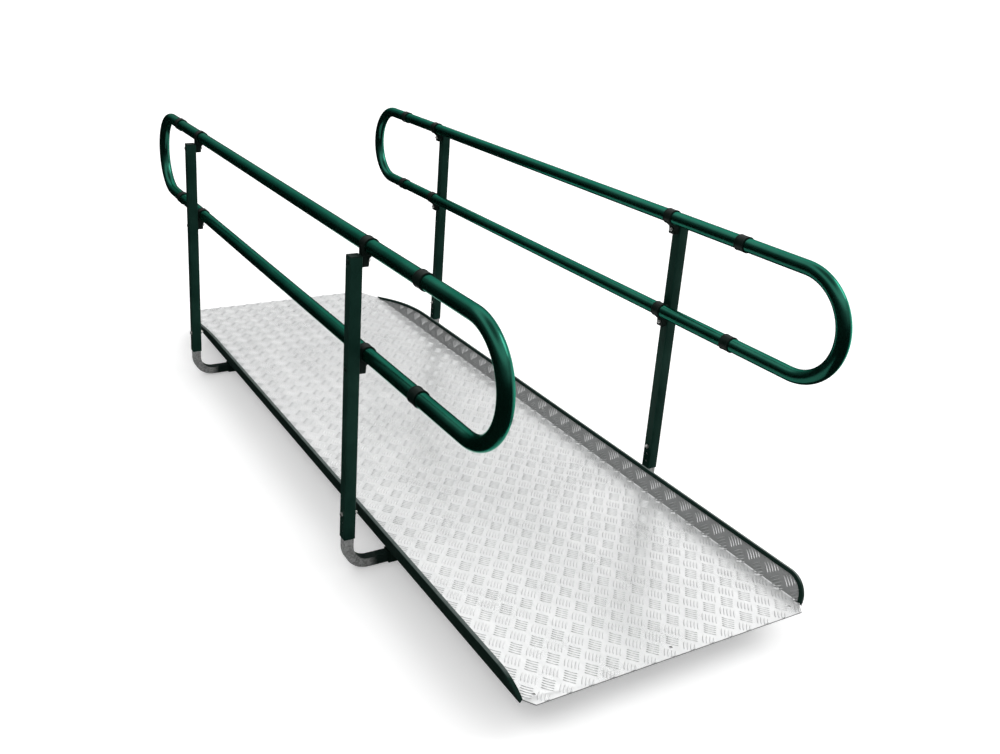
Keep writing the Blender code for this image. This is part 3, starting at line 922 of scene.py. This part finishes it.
def make_clamp(node, rail, side, body):
    """A band round the rail and a lug that hangs from it against the post's inner face."""
    low, high, centre = box_and_centre(node)
    axis = box_and_centre(rail)[2]
    bore = rail_radius(rail) + GAP
    place = Vector((axis.x, centre.y, axis.z))
    face = (high.x - axis.x) if side > 0 else (axis.x - low.x)
    bm = bmesh.new()
    turned(bm, place, Y_AXIS, X_AXIS, band_profile((high.y - low.y) / 2, bore, high.z - axis.z), ring=True)
    outline = lug_outline(face, axis.z - low.z, bore)
    centre_u = sum(u for u, _ in outline) / len(outline)
    centre_v = sum(v for _, v in outline) / len(outline)
    layers = []
    half = LUG_HALF_WIDTH
    for width, shrink in ((-half, 0.9), (-half + 0.0006, 0.97), (-half + 0.002, 1.0),
                          (half - 0.002, 1.0), (half - 0.0006, 0.97), (half, 0.9)):
        layer = []
        for u, v in outline:
            u = min(centre_u + (u - centre_u) * shrink, face)
            v = centre_v + (v - centre_v) * shrink
            layer.append(bm.verts.new(place + Vector((side * u, width, v))))
        layers.append(layer)
    bridge(bm, layers)
    bm.faces.new(layers[0])
    bm.faces.new(layers[-1])
    place_piece(node + "_body", bm, "clamp_nylon", body, (node,))


def bolt_line(node, side):
    """Where a bolt's head meets the post's outer face, the way its shank runs, and the shank's length."""
    low, high, centre = box_and_centre(node)
    head_end = high.x - HEAD_THICK if side > 0 else low.x + HEAD_THICK
    return Vector((head_end, centre.y, centre.z)), X_AXIS * -side, high.x - low.x - HEAD_THICK


def make_clamp_bolt(node, side, body):
    """Round-headed bolt through the post and the lug, with a domed nut on the lug's inner side."""
    low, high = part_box(node)
    origin, inward, length = bolt_line(node, side)
    head = (high.y - low.y) / 2
    nut_start = length - NUT_THICK - NUT_SETBACK
    button = ((1.0, 0.18), (0.93, 0.45), (0.72, 0.74), (0.38, 0.94), (0.12, 1.0), (0.0, 0.98))
    profile = [(-HEAD_THICK * rise, head * wide) for rise, wide in button]
    profile += [(0.0, BOLT_RADIUS), (nut_start, BOLT_RADIUS)]
    bm = bmesh.new()
    turned(bm, origin, inward, Y_AXIS, profile, sides=32)
    dome = ((0.74, 0.95), (0.76, 0.84), (1.10, 0.72), (1.32, 0.45), (1.42, 0.12))
    stages = [(nut_start, hex_section(HEX_FLATS * 0.96, 1.0)), (nut_start + 0.0008, hex_section(HEX_FLATS)),
              (nut_start + NUT_THICK * 0.62, hex_section(HEX_FLATS))]
    stages += [(nut_start + NUT_THICK * along, hex_section(HEX_FLATS * wide, 1.0)) for along, wide in dome]
    stacked(bm, origin, inward, Y_AXIS, stages)
    pair = place_piece(node + "_set", bm, "zinc_bolt", body, (node,))
    pair.data.materials.append(DARK_HEAD)
    for face in pair.data.polygons:
        face.material_index = int((face.center - origin).dot(inward) < 0.001)


def make_foot_bolt(node, side, body):
    """Hexagon head and a shank whose end is threaded."""
    origin, inward, length = bolt_line(node, side)
    stages = [(-HEAD_THICK, hex_section(HEX_FLATS * 0.86, 1.0)),
              (-HEAD_THICK * 0.86, hex_section(HEX_FLATS * 0.96, 1.0)),
              (-HEAD_THICK * 0.74, hex_section(HEX_FLATS)), (0.0, hex_section(HEX_FLATS))]
    bm = bmesh.new()
    stacked(bm, origin, inward, Y_AXIS, stages)
    groove = length - THREAD_LENGTH
    shank = [(0.0, BOLT_RADIUS), (groove, BOLT_RADIUS)]
    while groove < length - 0.0016:
        shank += [(groove, BOLT_RADIUS), (groove + THREAD_PITCH * 0.4, BOLT_RADIUS * 0.88)]
        groove += THREAD_PITCH
    shank += [(length - 0.0010, BOLT_RADIUS * 0.95), (length, BOLT_RADIUS * 0.80)]
    turned(bm, origin, inward, Y_AXIS, shank, sides=32)
    place_piece(node + "_hex", bm, "zinc_bolt", body, (node,))


def make_foot_nut(node, side, body):
    low, high, centre = box_and_centre(node)
    origin = Vector((high.x if side > 0 else low.x, centre.y, centre.z))
    bore = hex_section((BOLT_RADIUS + GAP) * 2, 1.0)
    ease = 0.0009
    stages = [(0.0, bore), (0.0, hex_section(HEX_FLATS * 0.96, 1.0)), (ease, hex_section(HEX_FLATS)),
              (NUT_THICK - ease, hex_section(HEX_FLATS)), (NUT_THICK, hex_section(HEX_FLATS * 0.96, 1.0)),
              (NUT_THICK, bore)]
    bm = bmesh.new()
    stacked(bm, origin, X_AXIS * -side, Y_AXIS, stages, ring=True)
    place_piece(node + "_hex", bm, "zinc_bolt", body, (node,))


def hole_tool(centre, reach):
    bm = bmesh.new()
    straight(bm, centre - X_AXIS * reach, centre + X_AXIS * reach, Y_AXIS, round_section(HOLE / 2, 28))
    return bm


def make_post(label, body):
    """A rounded square tube with the foot's row of holes and one hole for each clamp."""
    low, high, centre = box_and_centre(label + "_post")
    size = high.x - low.x
    bm = bmesh.new()
    straight(bm, Vector((centre.x, centre.y, low.z)), Vector((centre.x, centre.y, high.z)), X_AXIS,
             square_section(size, POST_ROUND), square_section(size - 2 * POST_WALL, POST_BORE_ROUND))
    top_hole = box_and_centre(label + "_foot_bolt")[2].z
    heights = [top_hole - HOLE_PITCH * step for step in range(HOLES)]
    heights += [box_and_centre(label + "_" + level + "_clamp_bolt")[2].z for level in LEVELS]
    tools = [hole_tool(Vector((centre.x, centre.y, height)), size) for height in heights]
    tube = place_mesh(label + "_post_tube", cut(bm, tools), "handrail_paint", body, (label + "_post",))
    # Painted shade: the posts take the darker copy of the handrail paint
    tube.data.materials[0] = SHADED_POST_PAINT


def make_cap(label, body):
    """A pressed-in cap: a plug, a square rim with eased edges and a low dome."""
    low, high, centre = box_and_centre(label + "_post_cap")
    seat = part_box(label + "_post")[1].z + GAP
    size = high.x - low.x
    thick = high.z - seat
    plug = square_section(size - 2 * POST_WALL - 4 * GAP, POST_BORE_ROUND)
    full = square_section(size, POST_ROUND)
    stages = [(low.z - seat, plug), (0.0, plug), (0.0, square_section(size - 0.0006, POST_ROUND)),
              (thick * 0.15, full), (thick * 0.45, full),
              (thick * 0.66, square_section(size * 0.955, POST_ROUND)),
              (thick * 0.82, square_section(size * 0.84, POST_ROUND * 1.3)),
              (thick * 0.94, square_section(size * 0.56, POST_ROUND * 1.6)),
              (thick, square_section(size * 0.18, size * 0.06))]
    bm = bmesh.new()
    stacked(bm, Vector((centre.x, centre.y, seat)), Z_AXIS, X_AXIS, stages)
    place_piece(label + "_cap", bm, "post_cap_plastic", body, (label + "_post_cap",), angle=60.0)


def make_bracket(label, side, body, steps=28):
    """Square tube bent into a J: an arm in the deck's socket and an upright inside the post."""
    low, high, centre = box_and_centre(label + "_bracket")
    y = centre.y
    arm_end, outer_face = (low.x, high.x) if side > 0 else (high.x, low.x)
    post_x = outer_face - side * BRACKET_TUBE / 2
    arm_z = low.z + BRACKET_TUBE / 2
    bend_x = abs(post_x) - BRACKET_RADIUS
    path = [(Vector((arm_end, y, arm_z)), X_AXIS * side)]
    for step in range(steps + 1):
        turn = math.pi / 2 * step / steps
        reach = bend_x + BRACKET_RADIUS * math.sin(turn)
        height = arm_z + BRACKET_RADIUS * (1 - math.cos(turn))
        path.append((Vector((side * reach, y, height)), Vector((side * math.cos(turn), 0.0, math.sin(turn)))))
    path.append((Vector((post_x, y, high.z)), Z_AXIS))
    bm = bmesh.new()
    swept(bm, path, Y_AXIS, square_section(BRACKET_TUBE, BRACKET_ROUND),
          square_section(BRACKET_TUBE - 2 * BRACKET_WALL, BRACKET_BORE_ROUND))
    slot_low = box_and_centre(label + "_foot_bolt")[2].z - HOLE / 2
    slot_high = high.z - BRACKET_TIP
    slot = bmesh.new()
    slot_centre = Vector((post_x, y, (slot_low + slot_high) / 2))
    straight(slot, slot_centre - X_AXIS * BRACKET_TUBE, slot_centre + X_AXIS * BRACKET_TUBE, Y_AXIS,
             box_section(HOLE, slot_high - slot_low, HOLE * 0.49, steps=8))
    place_mesh(label + "_bracket_bend", cut(bm, [slot]), "galvanised_bracket", body, (label + "_bracket",))


for side_name, side_sign in SIDES:
    handrail = side_name + "_handrail"
    for level in LEVELS:
        make_rail(side_name + "_" + level + "_rail", handrail)
    for end, way in (("near", -1), ("far", 1)):
        label = side_name + "_" + end
        make_loop(label + "_loop", way, handrail)
        make_post(label, handrail)
        make_cap(label, handrail)
        make_bracket(label, side_sign, side_name + "_brackets")
        make_foot_bolt(label + "_foot_bolt", side_sign, handrail)
        make_foot_nut(label + "_foot_nut", side_sign, handrail)
        for level in LEVELS:
            rail = side_name + "_" + level + "_rail"
            make_collar(label + "_" + level + "_collar", rail, handrail)
            make_clamp(label + "_" + level + "_clamp", rail, side_sign, handrail)
            make_clamp_bolt(label + "_" + level + "_clamp_bolt", side_sign, handrail)


# Stage: floor, studio light and camera


def make_floor():
    """White and faintly glowing, seen from above only, and left out of mirror-like reflections."""
    square = ((-1, -1), (1, -1), (1, 1), (-1, 1))
    corners = [(x * FLOOR_HALF_SIZE, y * FLOOR_HALF_SIZE, 0.0) for x, y in square]
    mesh = bpy.data.meshes.new("floor")
    mesh.from_pydata(corners, [], [range(4)])
    s = Shade("floor_white")
    base = s.ramp(s.noise(3.0), [(0.3, (0.80, 0.80, 0.80)), (0.7, (0.82, 0.82, 0.82))])
    s.set(Base_Color=base, Roughness=0.9, Specular_IOR_Level=0.1)
    s.set(Emission_Color=(1.0, 1.0, 1.0, 1.0), Emission_Strength=FLOOR_GLOW)
    one_sided = s.node("MixShader")
    s.join(s.node("NewGeometry").outputs["Backfacing"], one_sided.inputs["Fac"])
    s.join(s.shader.outputs["BSDF"], one_sided.inputs[1])
    s.join(s.node("BsdfTransparent").outputs["BSDF"], one_sided.inputs[2])
    s.join(one_sided.outputs["Shader"], s.tree.nodes["Material Output"].inputs["Surface"])
    mesh.materials.append(s.material)
    floor = add_object("floor", mesh)
    floor.visible_glossy = False


class Studio(NodeTree):
    """The world's nodes, where brightness depends on direction."""

    def __init__(self):
        world = bpy.data.worlds.new("studio")
        world.use_nodes = True
        bpy.context.scene.world = world
        super().__init__(world.node_tree)
        self.back = self.tree.nodes["Background"]
        self.direction = self.split(self.node("TexCoord").outputs["Generated"])

    def level(self, axis, stops):
        """Brightness along an axis; the ramp holds half of it, to stay within one."""
        place = self.math("MULTIPLY_ADD", self.direction[axis], 0.5, 0.5)
        halved = self.ramp(place, [((at + 1) / 2, (level / 2, level / 2, level / 2)) for at, level in stops])
        return self.math("MULTIPLY", halved, 2.0)


def make_world():
    """Bright overhead and low on the right, dim on the left and along the horizon, white past the floor."""
    studio = Studio()
    around = studio.math("MULTIPLY", studio.level("Z", LOW_SKY), studio.level("X", SIDE_SKY))
    wall = studio.math("MULTIPLY", studio.level("X", RIGHT_WALL), studio.level("Z", WALL_HEIGHT))
    total = studio.math("ADD", studio.math("ADD", around, studio.level("Z", HIGH_SKY)), wall)
    seen = studio.node("LightPath").outputs["Is Camera Ray"]
    studio.join(studio.math("MAXIMUM", total, seen), studio.back.inputs["Strength"])
    studio.back.inputs["Color"].default_value = (1.0, 1.0, 1.0, 1.0)


def make_sun():
    light = bpy.data.lights.new("sun", "SUN")
    light.energy = 1.0
    light.angle = SUN_ANGLE
    sun = add_object("sun", light)
    sun.location = SUN_PLACE
    sun.rotation_euler = (-sun.location).to_track_quat("-Z", "Y").to_euler()


def make_camera():
    data = bpy.data.cameras.new("camera")
    data.lens = CAMERA_LENS
    data.sensor_width = 36.0
    data.shift_x, data.shift_y = CAMERA_SHIFT
    camera = add_object("camera", data)
    camera.location = CAMERA_PLACE
    camera.rotation_euler = [math.radians(angle) for angle in CAMERA_TURN]
    bpy.context.scene.camera = camera


make_floor()
make_world()
make_sun()
make_camera()
bpy.context.scene.view_settings.view_transform = "Standard"
